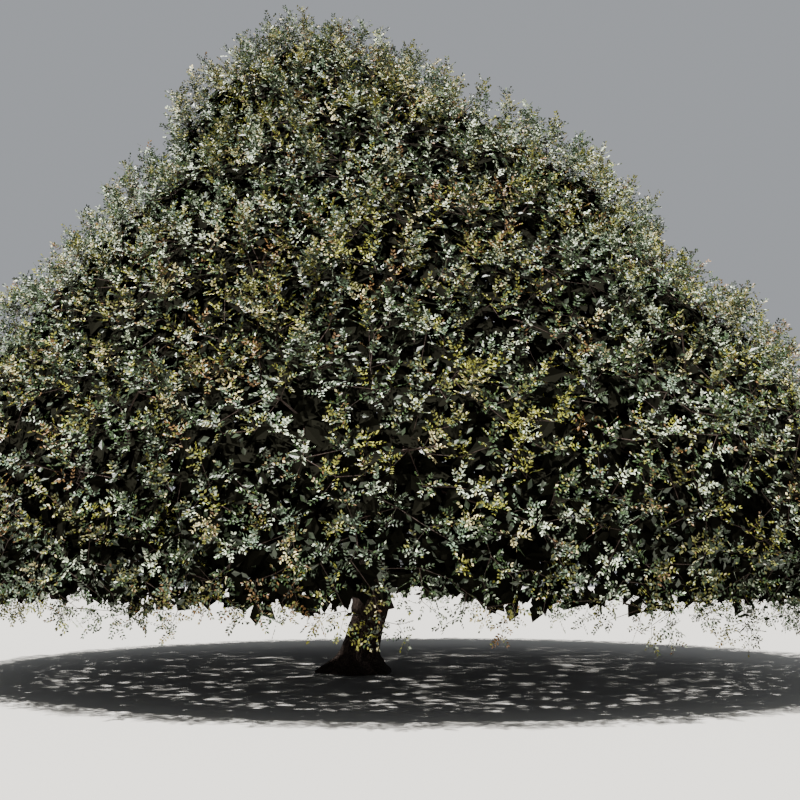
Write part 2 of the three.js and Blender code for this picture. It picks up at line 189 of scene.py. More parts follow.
def value_noise(u, v, across, along, seed):
    """Smooth noise from 0 to 1. u is a share of a turn and closes on itself, v a share of the length."""
    table = np.random.default_rng(seed).random((along + 2, across))
    x = (u % 1) * across
    y = np.clip(v, 0, 1) * along
    x0 = np.floor(x).astype(int)
    y0 = np.floor(y).astype(int)
    fx = x - x0
    fy = y - y0
    fx = fx * fx * (3 - 2 * fx)
    fy = fy * fy * (3 - 2 * fy)
    x0 = x0 % across
    x1 = (x0 + 1) % across
    low = table[y0, x0] * (1 - fx) + table[y0, x1] * fx
    high = table[y0 + 1, x0] * (1 - fx) + table[y0 + 1, x1] * fx
    return low * (1 - fy) + high * fy


def bark_relief(u, v, around, length, seed):
    """Height of the bark from about -1 to 1: long plates between furrows that wander along the wood."""
    waves, plates_up, cracks_up = (
        max(2, int(length * a_metre)) for a_metre in (WANDERS_A_METRE, PLATES_A_METRE, CRACKS_A_METRE)
    )
    wander = FURROW_WANDER * (value_noise(u, v, WANDERS_AROUND, waves, seed) - 0.5)
    ridges = value_noise(u + wander, v, around, plates_up, seed + 1)
    plates = 1 - np.abs(2 * ridges - 1) ** PLATE_SHARPNESS
    fine = value_noise(u + wander, v, around * 2, cracks_up, seed + 2)
    return 0.75 * (2 * plates - 1) + 0.5 * (fine - 0.5)


def grid_faces(rows, columns):
    """Triangles of a grid that closes on itself across its columns."""
    row = np.arange(rows - 1)[:, None] * columns
    here = np.arange(columns)[None, :]
    right = (here + 1) % columns
    a = row + here
    b = row + right
    c = b + columns
    d = a + columns
    return np.concatenate([np.stack([a, b, c], -1).reshape(-1, 3), np.stack([a, c, d], -1).reshape(-1, 3)])


def closed_grid(skin, rows, around, start, end):
    """Rows of corners as a closed mesh, with a fan to a point at its start and one at its end."""
    first = np.arange(around)
    last = first + (rows - 1) * around
    tips = len(skin)
    near = np.stack([np.roll(first, -1), first, np.full(around, tips)], 1)
    far = np.stack([last, np.roll(last, -1), np.full(around, tips + 1)], 1)
    return np.vstack([skin, start, end]), np.vstack([grid_faces(rows, around), near, far])


def trunk_middle(z):
    return TRUNK_LEAN * (np.maximum(z, 0) / FORK_HEIGHT) ** LEAN_POWER


def trunk_radius(bearing, z):
    """The radius without bark relief: a tapering shaft, and the roots' swellings that die away upwards."""
    shaft = TRUNK_RADIUS + (FORK_RADIUS - TRUNK_RADIUS) * np.clip(z / FORK_HEIGHT, 0, 1)
    roots = 0
    for way, reach, spread in ROOTS:
        off = (bearing - way + 540) % 360 - 180
        roots = roots + reach * np.exp(-((off / spread) ** 2))
    return shaft + (FLARE_REACH + roots) * np.exp(-((np.maximum(z, 0) / FLARE_HEIGHT) ** FLARE_POWER))


def new_group(name, setting, default, outputs):
    """A shader node group with one number going in: the group, and its two end nodes."""
    group = bpy.data.node_groups.new(name, "ShaderNodeTree")
    entry = group.interface.new_socket(setting, in_out="INPUT", socket_type="NodeSocketFloat")
    entry.default_value = default
    for output in outputs:
        kind = "NodeSocketColor" if output == "Color" else "NodeSocketFloat"
        group.interface.new_socket(output, in_out="OUTPUT", socket_type=kind)
    return group, group.nodes.new("NodeGroupInput"), group.nodes.new("NodeGroupOutput")


def new_node(tree, kind, **inputs):
    """A shader node with some of its inputs set. An underscore stands for a space in an input's name."""
    node = tree.nodes.new("ShaderNode" + kind)
    for name, value in inputs.items():
        node.inputs[name.replace("_", " ")].default_value = value
    return node


def put_surface(material, group, gloss, strength, distance):
    """Gives a material a group's roughness, and its height as bump. Returns the group's node."""
    tree = material.node_tree
    shader = tree.nodes["Principled BSDF"]
    shader.inputs["Specular IOR Level"].default_value = gloss
    surface = new_node(tree, "Group")
    surface.node_tree = group
    relief = new_node(tree, "Bump", Strength=strength, Distance=distance)
    tree.links.new(surface.outputs["Roughness"], shader.inputs["Roughness"])
    tree.links.new(surface.outputs["Height"], relief.inputs["Height"])
    tree.links.new(relief.outputs["Normal"], shader.inputs["Normal"])
    return surface


def bark_group():
    """Bark's colour, roughness and fine height: brown plates, grey where weather has bleached them, and dark
    in the furrows. The tones are partly the bark's own and partly painted shade: darker all over, and
    darkest in the furrows. A larger scale makes the furrows finer."""
    group, entry, out = new_group("bark_surface", "Scale", 1.0, ["Color", "Roughness", "Height"])
    link = group.links.new
    place = new_node(group, "TexCoord")
    stretch = new_node(group, "Mapping", Scale=GRAIN_STRETCH)
    link(place.outputs["Object"], stretch.inputs["Vector"])
    furrows = new_node(group, "TexVoronoi")
    furrows.feature = "DISTANCE_TO_EDGE"
    times = new_node(group, "Math")
    times.operation = "MULTIPLY"
    times.inputs[1].default_value = FURROW_SCALE
    link(entry.outputs["Scale"], times.inputs[0])
    link(stretch.outputs["Vector"], furrows.inputs["Vector"])
    link(times.outputs[0], furrows.inputs["Scale"])
    grain = new_node(group, "TexNoise", Scale=GRAIN_SCALE, Detail=8, Roughness=0.68)
    link(stretch.outputs["Vector"], grain.inputs["Vector"])
    patches = new_node(group, "TexNoise", Scale=PATCH_SCALE, Detail=4)
    link(place.outputs["Object"], patches.inputs["Vector"])
    ramp = new_node(group, "ValToRGB")
    tones = ramp.color_ramp.elements
    tones[0].position = 0.28
    tones[0].color = (*BARK_DARK, 1)
    tones[1].position = 0.78
    tones[1].color = (*BARK_PALE, 1)
    tones.new(0.52).color = (*BARK_MID, 1)
    link(grain.outputs["Fac"], ramp.inputs["Fac"])
    weather = new_node(group, "Mix")
    weather.data_type = "RGBA"
    weather.inputs["B"].default_value = (*BARK_BLEACHED, 1)
    fade = new_node(group, "MapRange", From_Min=0.5, From_Max=0.72, To_Max=0.6)
    link(patches.outputs["Fac"], fade.inputs["Value"])
    link(fade.outputs["Result"], weather.inputs["Factor"])
    link(ramp.outputs["Color"], weather.inputs["A"])
    edge = new_node(group, "MapRange", From_Max=0.16)
    link(furrows.outputs["Distance"], edge.inputs["Value"])
    # darker towards the furrows' edges: painted shade in the furrows
    shade = new_node(group, "Mix")
    shade.data_type = "RGBA"
    shade.inputs["A"].default_value = (*BARK_DARK, 1)
    link(edge.outputs["Result"], shade.inputs["Factor"])
    link(weather.outputs["Result"], shade.inputs["B"])
    link(shade.outputs["Result"], out.inputs["Color"])
    rough = new_node(group, "MapRange", To_Min=0.82, To_Max=0.97)
    link(grain.outputs["Fac"], rough.inputs["Value"])
    link(rough.outputs["Result"], out.inputs["Roughness"])
    high = new_node(group, "Math")
    high.operation = "ADD"
    link(edge.outputs["Result"], high.inputs[0])
    link(grain.outputs["Fac"], high.inputs[1])
    link(high.outputs[0], out.inputs["Height"])
    return group


BARK_GROUP = bark_group()


def bark_material(name, scale, bump):
    material = bpy.data.materials.new(name)
    material.use_nodes = True
    surface = put_surface(material, BARK_GROUP, BARK_GLOSS, BARK_BUMP, bump)
    surface.inputs["Scale"].default_value = scale
    colour = material.node_tree.nodes["Principled BSDF"].inputs["Base Color"]
    material.node_tree.links.new(surface.outputs["Color"], colour)
    return material


def trunk_mesh():
    up = np.linspace(0, 1, TRUNK_UP)[:, None]
    turn = np.linspace(0, 2 * np.pi, TRUNK_AROUND, endpoint=False)[None, :]
    low = np.minimum(1, up / HEAD_FROM)
    head = np.clip((up - HEAD_FROM) / (1 - HEAD_FROM), 0, 1)
    z = FORK_HEIGHT * low**ROW_CROWDING + FORK_RADIUS * HEAD_HEIGHT * np.sin(head * np.pi / 2)
    bearing = np.degrees(turn)
    radius = trunk_radius(bearing, np.minimum(z, FORK_HEIGHT)) * (1 - HEAD_TAPER * head * head)
    around = turn / (2 * np.pi) + 0 * up
    relief = bark_relief(around, up + 0 * turn, TRUNK_PLATES, TRUNK_BARK_LENGTH, TRUNK_BARK_SEED)
    radius = radius + FURROW_DEPTH * relief * (1 - HEAD_SMOOTHING * head)
    x = trunk_middle(z) + radius * np.cos(turn)
    y = radius * np.sin(turn)
    skin = np.stack([x, y, z + 0 * turn], -1).reshape(-1, 3)
    top = [trunk_middle(z[-1, 0]), 0, z[-1, 0]]
    return closed_grid(skin, TRUNK_UP, TRUNK_AROUND, [0, 0, 0], top)


TRUNK_BARK = bark_material("trunk_bark", 1.0, 0.012)
trunk = mesh_object("trunk_bark", *trunk_mesh(), [TRUNK_BARK], smooth=True)
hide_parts("trunk")
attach(trunk, "root")

# Boughs: one tapering limb of barked wood to each mass of foliage, grown out of the trunk's head or an
# earlier bough where that costs least wood, with a collar there. The crown's dome and its masses come first,
# because the boughs grow to them.
TREE_HEIGHT = 10.24
CROWN_HALF_WIDTH = 7.19
CROWN_DEPTH_SHARE = 0.93  # of its width
WIDEST_AT = 2.83
DOME_RISE = 1.04
DOME_ROUND = 1.4
LEAN_LOW = 0.48  # how far right its middle lies where it is widest, and how that changes from there up
LEAN_SLOPE = -0.051
BEND_FROM = 6.9  # it bends to the left between these heights
BEND_TO = 9.3
BEND_SHIFT = -0.82
DENTS = [  # where the dome is pressed in: bearing, height, depth, spread in degrees and in height
    (205, 7.64, 0.70, 30, 0.30),
    (345, 5.74, 0.52, 30, 0.55),
]
SKIRT_FOOT = 0.93  # height of the crown's lower edge, which slopes along x
SKIRT_SLOPE = -0.035
SKIRT_TUCK = 0.16  # share of its radius that the crown draws in towards that edge
RINGS = [  # of masses: name, count, height, first bearing, tilt, half depth, half height
    ("top", 4, 8.35, 200, 48, 1.30, 2.30),
    ("upper", 6, 6.45, 30, 42, 1.25, 1.80),
    ("middle", 8, 4.55, 17, 33, 1.25, 1.85),
    ("skirt", 9, 2.55, 30, 6, 1.30, 1.95),
]
OVERLAP = 1.25
TURN_JITTER = 5  # degrees
HEIGHT_JITTER = 0.24
SIZE_JITTER = 0.08
BLOCKINESS = 3.2
HEART_SET_IN = 0.39  # from a mass's faces to its dense heart
LEAST_SHARE = 0.1
SHRINK = 0.985  # one step of fitting a mass into its space
SHRINK_STEPS = 150
NEIGHBOUR_STRETCH = 1.2  # masses that reach each other when this much larger share a plane
TIP_RADIUS = 0.040
TIP_SET_BACK = 1.12  # of the way from a mass's middle to the face of its heart
TIP_GAP = 0.04
RADIUS_PER_MASS = 0.048
MOST_FROM_TRUNK = 4
FORK_SPOTS = [0.26, 0.36, 0.46, 0.56, 0.66]  # shares of a bough's length
FORK_SPACING = 0.09
FORK_SINK = 0.09  # of the first boughs' roots into the trunk's head
WAY_BACK_COST = 0.5
TURN_COST = 0.5
ENTER_OUTWARD = 0.5  # how much a bough turns outward where it enters its mass
LEAVE_ALONG = 0.45  # how much it leaves along its parent, and upwards
LEAVE_UPWARD = 0.3
LEAVE_SHARE = 0.36  # shares of its reach at which it bends, from its root and from its tip
ENTER_SHARE = 0.34
TAPER_POWER = 0.85
CHILD_SHARE = 0.84  # most of its parent's radius that a bough has
BOUGH_AROUND = 12
BOUGH_STEP = 0.07
LEAST_STEPS = 8
BOUGH_PLATES = 9
BOUGH_FURROWS = 0.055  # depth over the radius, as is the height of the knots
BOUGH_KNOTS = 0.14
KNOTS_AROUND = 3
KNOTS_A_METRE = 2
BOUGH_SEED = 40
KNOT_SEED_STEP = 7
COLLAR = 0.28
COLLAR_REACH = 2.2  # over the bough's radius
UP = np.array([0.0, 0.0, 1.0])


class Draws:
    """A stream of numbers from 0 to 1 that is the same for the same seed everywhere."""

    def __init__(self, seed):
        self.state = seed % 2147483647
        for _ in range(3):
            self.next()

    def next(self):
        self.state = (self.state * 16807) % 2147483647
        return self.state / 2147483647

    def swing(self, amount):
        return (self.next() * 2 - 1) * amount


def unit(v):
    return v / np.maximum(np.linalg.norm(v, axis=-1, keepdims=True), 1e-9)


def crown_middle(z):
    """How far to the right the crown's middle lies at a height."""
    bend = np.clip((z - BEND_FROM) / (BEND_TO - BEND_FROM), 0, 1)
    return LEAN_LOW + LEAN_SLOPE * np.maximum(0, z - WIDEST_AT) + BEND_SHIFT * bend * bend * (3 - 2 * bend)


def crown_radius(z):
    u = (z - WIDEST_AT) / (TREE_HEIGHT - WIDEST_AT)
    v = np.maximum(0, WIDEST_AT - z) / (WIDEST_AT - SKIRT_FOOT)
    dome = (1 - np.clip(u, 0, 1) ** DOME_RISE) ** (1 / DOME_ROUND)
    return CROWN_HALF_WIDTH * dome * (1 - SKIRT_TUCK * v * v)


def inside_crown(points, rise):
    """Which points lie in the crown's dome, when it is lifted by rise and its lower edge stays."""
    x, y, z = np.moveaxis(points, -1, 0)
    over_foot = z > SKIRT_FOOT + SKIRT_SLOPE * x
    z = z - rise
    x = x - crown_middle(z)
    y = y / CROWN_DEPTH_SHARE
    bearing = np.degrees(np.arctan2(y, x))
    dents = 0
    for way, height, depth, spread, tall in DENTS:
        off = (bearing - way + 540) % 360 - 180
        dents = dents + depth * np.exp(-((off / spread) ** 2) - ((z - height) / tall) ** 2)
    return over_foot & (z < TREE_HEIGHT) & (np.hypot(x, y) < crown_radius(z) - dents)


class Mass:
    """A mass of foliage: a block with round edges. Its axes point out of the crown, across and up. Planes to
    its neighbours bound its own space: their ways, and how far along them they lie."""

    def __init__(self, ring_number, number):
        name, count, height, first, tilt, deep, tall = RINGS[ring_number]
        self.ring = name
        self.number = number + 1
        self.seed = 7001 * (ring_number + 1) + 613 * (number + 1)
        draws = Draws(self.seed)
        bearing = math.radians(first + 360 * number / count + draws.swing(TURN_JITTER))
        z = height + draws.swing(HEIGHT_JITTER)
        size = 1 + draws.swing(SIZE_JITTER)
        tilt = math.radians(tilt)
        flat = np.array([math.cos(bearing), math.sin(bearing), 0])
        out = flat * math.cos(tilt) + UP * math.sin(tilt)
        across = np.array([-flat[1], flat[0], 0])
        self.axes = np.array([out, across, np.cross(out, across)])
        face_height = z + deep * math.sin(tilt)
        face_radius = crown_radius(face_height)
        ring_radius = face_radius - deep * math.cos(tilt)
        x = crown_middle(face_height) + ring_radius * flat[0]
        self.center = np.array([x, CROWN_DEPTH_SHARE * ring_radius * flat[1], z])
        wide = math.pi * face_radius / count * OVERLAP
        self.half = np.array([deep, wide, tall]) * size
        self.ways = []
        self.ats = []

    def at(self, way, share):
        """Points at a share of the mass's size, from directions in its own axes."""
        way = np.asarray(way, float)
        spread = (np.abs(way) ** BLOCKINESS).sum(-1, keepdims=True) ** (1 / BLOCKINESS)
        return self.center + (way * self.half * np.asarray(share)[..., None] / spread) @ self.axes

    def normal(self, way):
        """The way out of the mass's face there."""
        way = np.asarray(way, float)
        return unit((np.sign(way) * np.abs(way) ** (BLOCKINESS - 1) / self.half) @ self.axes)

    def support(self, way):
        """About how far it reaches that way from its middle."""
        return np.linalg.norm(self.axes @ way * self.half)

    def heart(self, way):
        """How far the face of its dense heart lies from its middle that way."""
        return 1 / np.linalg.norm(self.axes @ way / (self.half - HEART_SET_IN))

    def holds(self, points, gap, rise=0):
        """Which points lie in the mass's own space."""
        return inside_crown(points, rise) & np.all(points @ self.ways.T < self.ats - gap, axis=-1)

    def room(self, way, gap):
        """The farthest shares of the mass's size, up to 1, that lie in its own space."""
        share = np.ones(np.asarray(way).shape[:-1])
        for _ in range(SHRINK_STEPS):
            over = (share > LEAST_SHARE) & ~self.holds(self.at(way, share), gap)
            if not over.any():
                break
            share = np.where(over, share * SHRINK, share)
        return share


masses = [Mass(r, j) for r, ring in enumerate(RINGS) for j in range(ring[1])]
for i, one in enumerate(masses):
    for two in masses[i + 1 :]:
        way = two.center - one.center
        apart = np.linalg.norm(way)
        way = way / apart
        reach_one = one.support(way)
        reach_two = two.support(way)
        if apart > (reach_one + reach_two) * NEIGHBOUR_STRETCH:
            continue
        at = one.center @ way + apart * reach_one / (reach_one + reach_two)
        one.ways.append(way)
        one.ats.append(at)
        two.ways.append(-way)
        two.ats.append(-at)
for mass in masses:
    mass.ways = np.array(mass.ways)
    mass.ats = np.array(mass.ats)


class Bough:
    """A bent cone from its fork to its mass. back is how far its root lies from the trunk along the wood.
    feeds counts the masses that it bears in all."""

    def __init__(self, mass, parent, share, root, root_way, back):
        self.name = f"{mass.ring}_bough_{mass.number}"
        self.parent = parent
        self.share = share
        way = unit(mass.center - root)
        self.enter = unit(way + mass.axes[0] * ENTER_OUTWARD)
        self.tip = mass.center - self.enter * (mass.heart(self.enter) * TIP_SET_BACK + TIP_GAP)
        reach = np.linalg.norm(self.tip - root)
        leave = unit(way + root_way * LEAVE_ALONG + UP * LEAVE_UPWARD)
        low_knot = root + leave * reach * LEAVE_SHARE
        high_knot = self.tip - self.enter * reach * ENTER_SHARE
        self.knots = np.array([root, low_knot, high_knot, self.tip])
        line = self.points(np.linspace(0, 1, 201))
        self.length = np.linalg.norm(np.diff(line, axis=0), axis=1).sum()
        self.back = back
        self.forks = []
        self.feeds = 1

    def points(self, t):
        t = np.asarray(t, float)[..., None]
        s = 1 - t
        a, b, c, d = self.knots
        return s**3 * a + 3 * s * s * t * b + 3 * s * t * t * c + t**3 * d

    def tangent(self, t):
        return unit(self.points(min(1, t + 1e-4)) - self.points(max(0, t - 1e-4)))

    def radius(self, t):
        return self.base + (TIP_RADIUS - self.base) * np.asarray(t) ** TAPER_POWER


fork = np.array([trunk_middle(FORK_HEIGHT), 0, FORK_HEIGHT - FORK_SINK])
fork_way = unit(np.array([0.1, 0, 1]))
boughs = []
for mass in masses:
    spots = []
    if sum(bough.parent is None for bough in boughs) < MOST_FROM_TRUNK:
        spots.append((None, 0, fork, fork_way, 0))
    for bough in boughs:
        for t in FORK_SPOTS:
            if any(abs(used - t) < FORK_SPACING for used in bough.forks):
                continue
            spots.append((bough, t, bough.points(t), bough.tangent(t), bough.back + bough.length * t))

    def wood_cost(spot):
        way = mass.center - spot[2]
        reach = np.linalg.norm(way)
        return reach * (1 + TURN_COST * (1 - way @ spot[3] / reach)) + spot[4] * WAY_BACK_COST

    parent, share, *rest = min(spots, key=wood_cost)
    bough = Bough(mass, parent, share, *rest)
    if parent:
        parent.forks.append(share)
    while parent:
        parent.feeds += 1
        parent = parent.parent
    boughs.append(bough)
    mass.bough = bough
for bough in boughs:
    bough.base = RADIUS_PER_MASS * math.sqrt(bough.feeds)
    if bough.parent:
        bough.base = min(bough.base, CHILD_SHARE * float(bough.parent.radius(bough.share)))


def turned(side, lift, turn):
    """Directions turned from side towards lift, by an angle for each."""
    return side * np.cos(turn)[..., None] + lift * np.sin(turn)[..., None]


def tube(points, radii, relief):
    """A closed tube along points. relief adds to the radius at each of its corners."""
    around = relief.shape[1]
    ways = unit(np.gradient(points, axis=0))
    side = np.cross(ways[0], UP if abs(ways[0][2]) < 0.9 else np.array([1.0, 0, 0]))
    sides = []
    for way in ways:
        side = unit(side - way * (side @ way))
        sides.append(side)
    sides = np.array(sides)
    lifts = np.cross(ways, sides)
    turn = np.linspace(0, 2 * np.pi, around, endpoint=False)
    radius = radii[:, None] + relief
    ring = turned(sides[:, None], lifts[:, None], turn)
    skin = (points[:, None] + ring * radius[..., None]).reshape(-1, 3)
    return closed_grid(skin, len(points), around, points[0], points[-1])


def bough_mesh(bough, seed):
    steps = max(LEAST_STEPS, int(bough.length / BOUGH_STEP))
    t = np.linspace(0, 1, steps)
    radius = bough.radius(t)
    collar = 1 + COLLAR * np.exp(-t * bough.length / (COLLAR_REACH * bough.base))
    turn, up = np.meshgrid(np.linspace(0, 1, BOUGH_AROUND, endpoint=False), t)
    relief = bark_relief(turn, up, BOUGH_PLATES, bough.length, seed)
    rows = int(bough.length * KNOTS_A_METRE) + 2
    knots = value_noise(turn, up, KNOTS_AROUND, rows, seed + KNOT_SEED_STEP)
    depth = BOUGH_FURROWS * radius[:, None] * relief + BOUGH_KNOTS * radius[:, None] * (knots - 0.5)
    return tube(bough.points(t), radius * collar, depth)


BOUGH_BARK = bark_material("bough_bark", 1.5, 0.006)
for number, bough in enumerate(boughs):
    mesh = bough_mesh(bough, BOUGH_SEED + number)
    piece = mesh_object(bough.name + "_bark", *mesh, [BOUGH_BARK], smooth=True)
    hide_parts(bough.name)
    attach(piece, "root")

# Foliage: leathery evergreen leaves with paired blunt leaflets, in tufts on the ends of fine twigs. A mass
# grows from the stem at its bough's tip. Its shoots stand in rounded clumps with dark creases between them,
# and in upright fingers near the top. Larger plain leaves inside close the view through it; most of them are
# near-black, as painted shade.
TWIGS_A_MASS = 10
TWIG_SEED_STEP = 31
TWIG_CAP = 1.3  # how far round from its outward way a mass has twigs: 2 is all round
FIRST_TWIG = 0.45
TWIG_FACING_JITTER = 0.06
TWIG_TURN_JITTER = 0.2  # radians
TWIG_ROOT_SHARE = 0.55
TWIG_TIP_SHARE = 0.86
SPRAY_DRAWS = 4  # numbers that go with each twig for its sprays, which are made otherwise here
STEM_GAP = 0.00035
STEM_REACH = 0.75  # of the way from the bough's tip to the mass's middle
STEM_RADII = (TIP_RADIUS * 0.95, 0.028)
MAIN_TWIG_STEPS = 7
MAIN_TWIG_RADII = (0.026, 0.008)
MAIN_TWIG_BEND = 0.06  # of the way from a main twig's root back to the stem's tip
FINE_TWIG_RADIUS = 0.0035  # least, growth with each metre, and most
FINE_TWIG_GROWTH = 0.006
FINE_TWIG_MOST = 0.012
SHOOT_RADII = (0.0036, 0.0015)
SHOOT_TWIG_SHARE = 0.95
TWIG_WAY_BACK_COST = 0.3
CELL_GAP = 0.04  # to the planes between masses
LIMB_CLEARANCE = 0.08
BOUGH_CHECKS = 40  # places along each bough
CLUMPS = {  # how far apart a ring's rounded clumps stand, and how deep the creases between them are
    "top": (0.62, 0.42),
    "upper": (0.72, 0.38),
    "middle": (0.84, 0.32),
    "skirt": (0.84, 0.26),
}
CLUMPS_TRIED = 1500
CREASE_AT = 0.71  # of the spacing, from a clump's middle
CREASE_THINNING = 0.4  # share of the shoots that are missing down in a crease
WALL = 0.30  # faces farther than this under the crown's face lie against a neighbour
UNDERSIDE = -0.4  # faces that look down more than this have their shoots close to the face
UNDERSIDE_SHARE = 0.4  # of the depth elsewhere
UNDERSIDE_FLATTENING = 0.15  # what is left of the shoots' way down there
FACE_WEIGHTS = np.array([2.2, 1, 1.8])  # of places on a mass's inner and outer faces, ends, and top and foot
FACING = -0.25  # least outward part of the way to a place, and the same for inner shoots
INNER_FACING = -0.6
OUTER_TRIED = 4600
OUTER_SPACING = 0.215
OUTER_SET_IN = (0.11, 0.19)  # from a mass's faces to where its outer shoots start
BURIED = 0.70  # shoots farther than this under the crown's face get no light and die
BURIED_BELOW = 1.80  # the same on the crown's underside
INNER_TRIED = 1500
INNER_SPACING = 0.65
INNER_SET_IN = (0.38, 0.85)
SHOOT_LENGTH = 0.23
SHOOT_LENGTHS = (0.75, 1.25)  # shares of it
SHOOT_SCATTER = 0.22
CLUMP_SPREAD = 0.45  # how much outer shoots lean away from their clump's middle
CLUMP_ROUNDING = 0.4
OUTER_UPWARD = 0.40
INNER_UPWARD = 0.2
FINGER_FACING = 0.12  # clumps that look up more than this bear an upright finger of shoots
FINGER_OUTWARD = 0.45
FINGER_UPWARD = 0.8
FINGER_SCATTER = 0.12
FINGER_SET_IN = 0.38
FINGER_LENGTH = (0.42, 0.80)
FINGER_RISE = 0.20  # how far its tip may pass the crown's dome
FINGER_SHRINK = 0.88
FINGER_SHRINK_STEPS = 12
FINGER_SHOOTS = 5
FINGER_SHOOT_SHARE = 0.75  # of the length of other shoots
FINGER_SPLAY = 0.75
FINGER_TURN_SCATTER = 0.3
LEAF_TURN = 2.4  # radians from one leaf, or one shoot of a finger, to the next
LEAF_TURN_SCATTER = 0.25
FIRST_LEAF = 0.6  # of the step from leaf to leaf
LEAVES = {"outer": (8, 4, 1.0), "inner": (7, 3, 1.35)}  # on a shoot, pairs of leaflets on each, and size
LEAF_LENGTH = 0.130
LEAF_SPLAY = (82, 50)  # degrees off the shoot at its foot, and how much less at its tip
LEAF_SPLAY_SCATTER = 8
LEAF_UPWARD = 0.10
LEAF_FOOT = 0.02  # metres back towards the shoot's root
LEAF_FACING = (0.8, 0.6)  # along the shoot and up
LEAF_FACE_SCATTER = 0.32
LEAFLET_LENGTH = 0.042
LEAFLET_WIDTH = 0.023
LEAF_SIZES = (0.85, 1.15)
PAIR_PLACES = np.array([0.26, 0.50, 0.74, 0.96])  # along the midrib
PAIR_ANGLES = np.radians([68, 60, 50, 34])
MIDRIB_DROOP = 0.10
LEAFLET_ROLL = 0.75
LEAFLET_TURN_SCATTER = 0.22
BLADE = np.array([[0, 0, 0], [0.58, 0.5, 1], [1, 0, 0], [0.58, -0.5, 1]])  # shares of length, width and fold
BLADE_FACES = np.array([[0, 1, 2], [0, 2, 3]])
FOLD = 0.16  # of the width
# The near leaves are deep green or near-black; the near-black ones are painted shade.
SHADE_TRIED = 1700  # plain dark leaves close under each mass's faces
SHADE_SET_IN = (0.06, 0.50)
SHADE_LENGTH = 0.105
SHADE_GREEN = 0.65  # share of them in deep green
SHADE_WIDTH = 0.55  # over the length
SHADE_SIZES = (0.75, 1.2)
SHADE_UPWARD = 0.3
SHADE_SCATTER = 0.45
# The shell's leaves are all near-black: painted shade that stands for the dark inside of the crown.
SHELL_DENSITY = 270  # larger ones tried in a cubic metre of a shell inside the crown
SHELL_DEPTHS = (0.46, 1.24)
SHELL_LOWEST = 1.20  # above the ground, and how far that waves up and down
SHELL_WAVE = 0.15
SHELL_WAVE_RATES = (2.3, 2.6)  # radians a metre along x and along y
SHELL_REACH = 1.65  # how far from a mass's middle its part of the shell may go, in its half sizes
SHELL_LENGTH = 0.27
STRAY_LEAFLETS = 0.50  # share of leaflets that don't take their shoot's tint
CAST_CHANCES = (0.46, 0.30, 0.24)  # of a clump being plain, yellowish or reddish
ODD_SHOOTS = 0.4  # share of shoots whose cast isn't their clump's
# Inner shoots take the inside shares, so their leaves are darker: painted shade.
INNER_CAST = 3
FLUSH_SHOOTS = 0.16  # share of shoots whose last leaves are young, and how many of those are bronze
FLUSH_BRONZE = 0.3
FLUSH_LEAVES = 2
LEAF_TINTS = [  # name, base colour, roughness, gloss, shares in plain, yellowish, reddish clumps and inside; the inside shares darken the inner leaves as painted shade
    # near-black leaves: painted shade for the dark inside of the crown
    ("leaf_painted_shade", (0.006, 0.006, 0.004), 0.95, 0.02, (0.00, 0.00, 0.00, 0.50)),
    ("leaf_deep_green", (0.016, 0.027, 0.010), 0.42, 0.60, (0.34, 0.28, 0.30, 0.40)),
    ("leaf_green", (0.032, 0.062, 0.018), 0.40, 0.60, (0.27, 0.16, 0.14, 0.10)),
    ("leaf_olive", (0.100, 0.100, 0.015), 0.40, 0.60, (0.06, 0.30, 0.20, 0.00)),
    ("leaf_grey_green", (0.115, 0.170, 0.110), 0.44, 0.55, (0.14, 0.03, 0.03, 0.00)),
    # pale leaflets: partly the paler leaf undersides, partly painted highlight that stands for glints of the
    # sun
    ("leaf_pale_painted_highlight", (0.530, 0.600, 0.440), 0.46, 0.55, (0.17, 0.06, 0.04, 0.00)),
    ("leaf_young", (0.240, 0.240, 0.035), 0.42, 0.50, (0.01, 0.10, 0.05, 0.00)),
    ("leaf_bronze", (0.150, 0.080, 0.026), 0.42, 0.50, (0.00, 0.01, 0.15, 0.00)),
    ("leaf_straw", (0.600, 0.530, 0.270), 0.46, 0.55, (0.01, 0.06, 0.09, 0.00)),
]
# the tint of the near-black painted shade
PAINTED_SHADE_TINT = 0
DEEP_GREEN_TINT = 1
YOUNG_TINT = 6
BRONZE_TINT = 7
GLOSS_SPREAD = 0.25  # how much the roughness of one leaf varies
LEAF_BUMP = 0.35
LEAF_BUMP_HEIGHT = 0.003


def leaf_surface_group():
    """A leathery leaf's skin: slight blotches in its gloss, and a faint quilting between its veins."""
    group, entry, out = new_group("leaf_skin", "Gloss", 0.36, ["Roughness", "Height"])
    link = group.links.new
    place = new_node(group, "TexCoord")
    quilt = new_node(group, "TexNoise", Scale=60, Detail=2)
    link(place.outputs["Object"], quilt.inputs["Vector"])
    spread = new_node(group, "Math")
    spread.operation = "MULTIPLY_ADD"
    spread.inputs[1].default_value = GLOSS_SPREAD
    link(quilt.outputs["Fac"], spread.inputs[0])
    link(entry.outputs["Gloss"], spread.inputs[2])
    link(spread.outputs[0], out.inputs["Roughness"])
    link(quilt.outputs["Fac"], out.inputs["Height"])
    return group


LEAF_GROUP = leaf_surface_group()


def leaf_material(name, colour, roughness, gloss):
    material = plain_material(name, colour, roughness)
    skin = put_surface(material, LEAF_GROUP, gloss, LEAF_BUMP, LEAF_BUMP_HEIGHT)
    skin.inputs["Gloss"].default_value = roughness - 0.12
    return material


LEAF_MATERIALS = [leaf_material(*tint[:4]) for tint in LEAF_TINTS]
TWIG_MATERIAL = bark_material("twig_bark", 4.0, 0.001)

along = np.linspace(0, 1, BOUGH_CHECKS)
bough_points = np.concatenate([bough.points(along) for bough in boughs])
bough_radii = np.concatenate([bough.radius(along) for bough in boughs])


def clear_of_boughs(points):
    gaps = np.linalg.norm(points[:, None] - bough_points[None], axis=-1) - bough_radii[None]
    return gaps.min(1) > LIMB_CLEARANCE


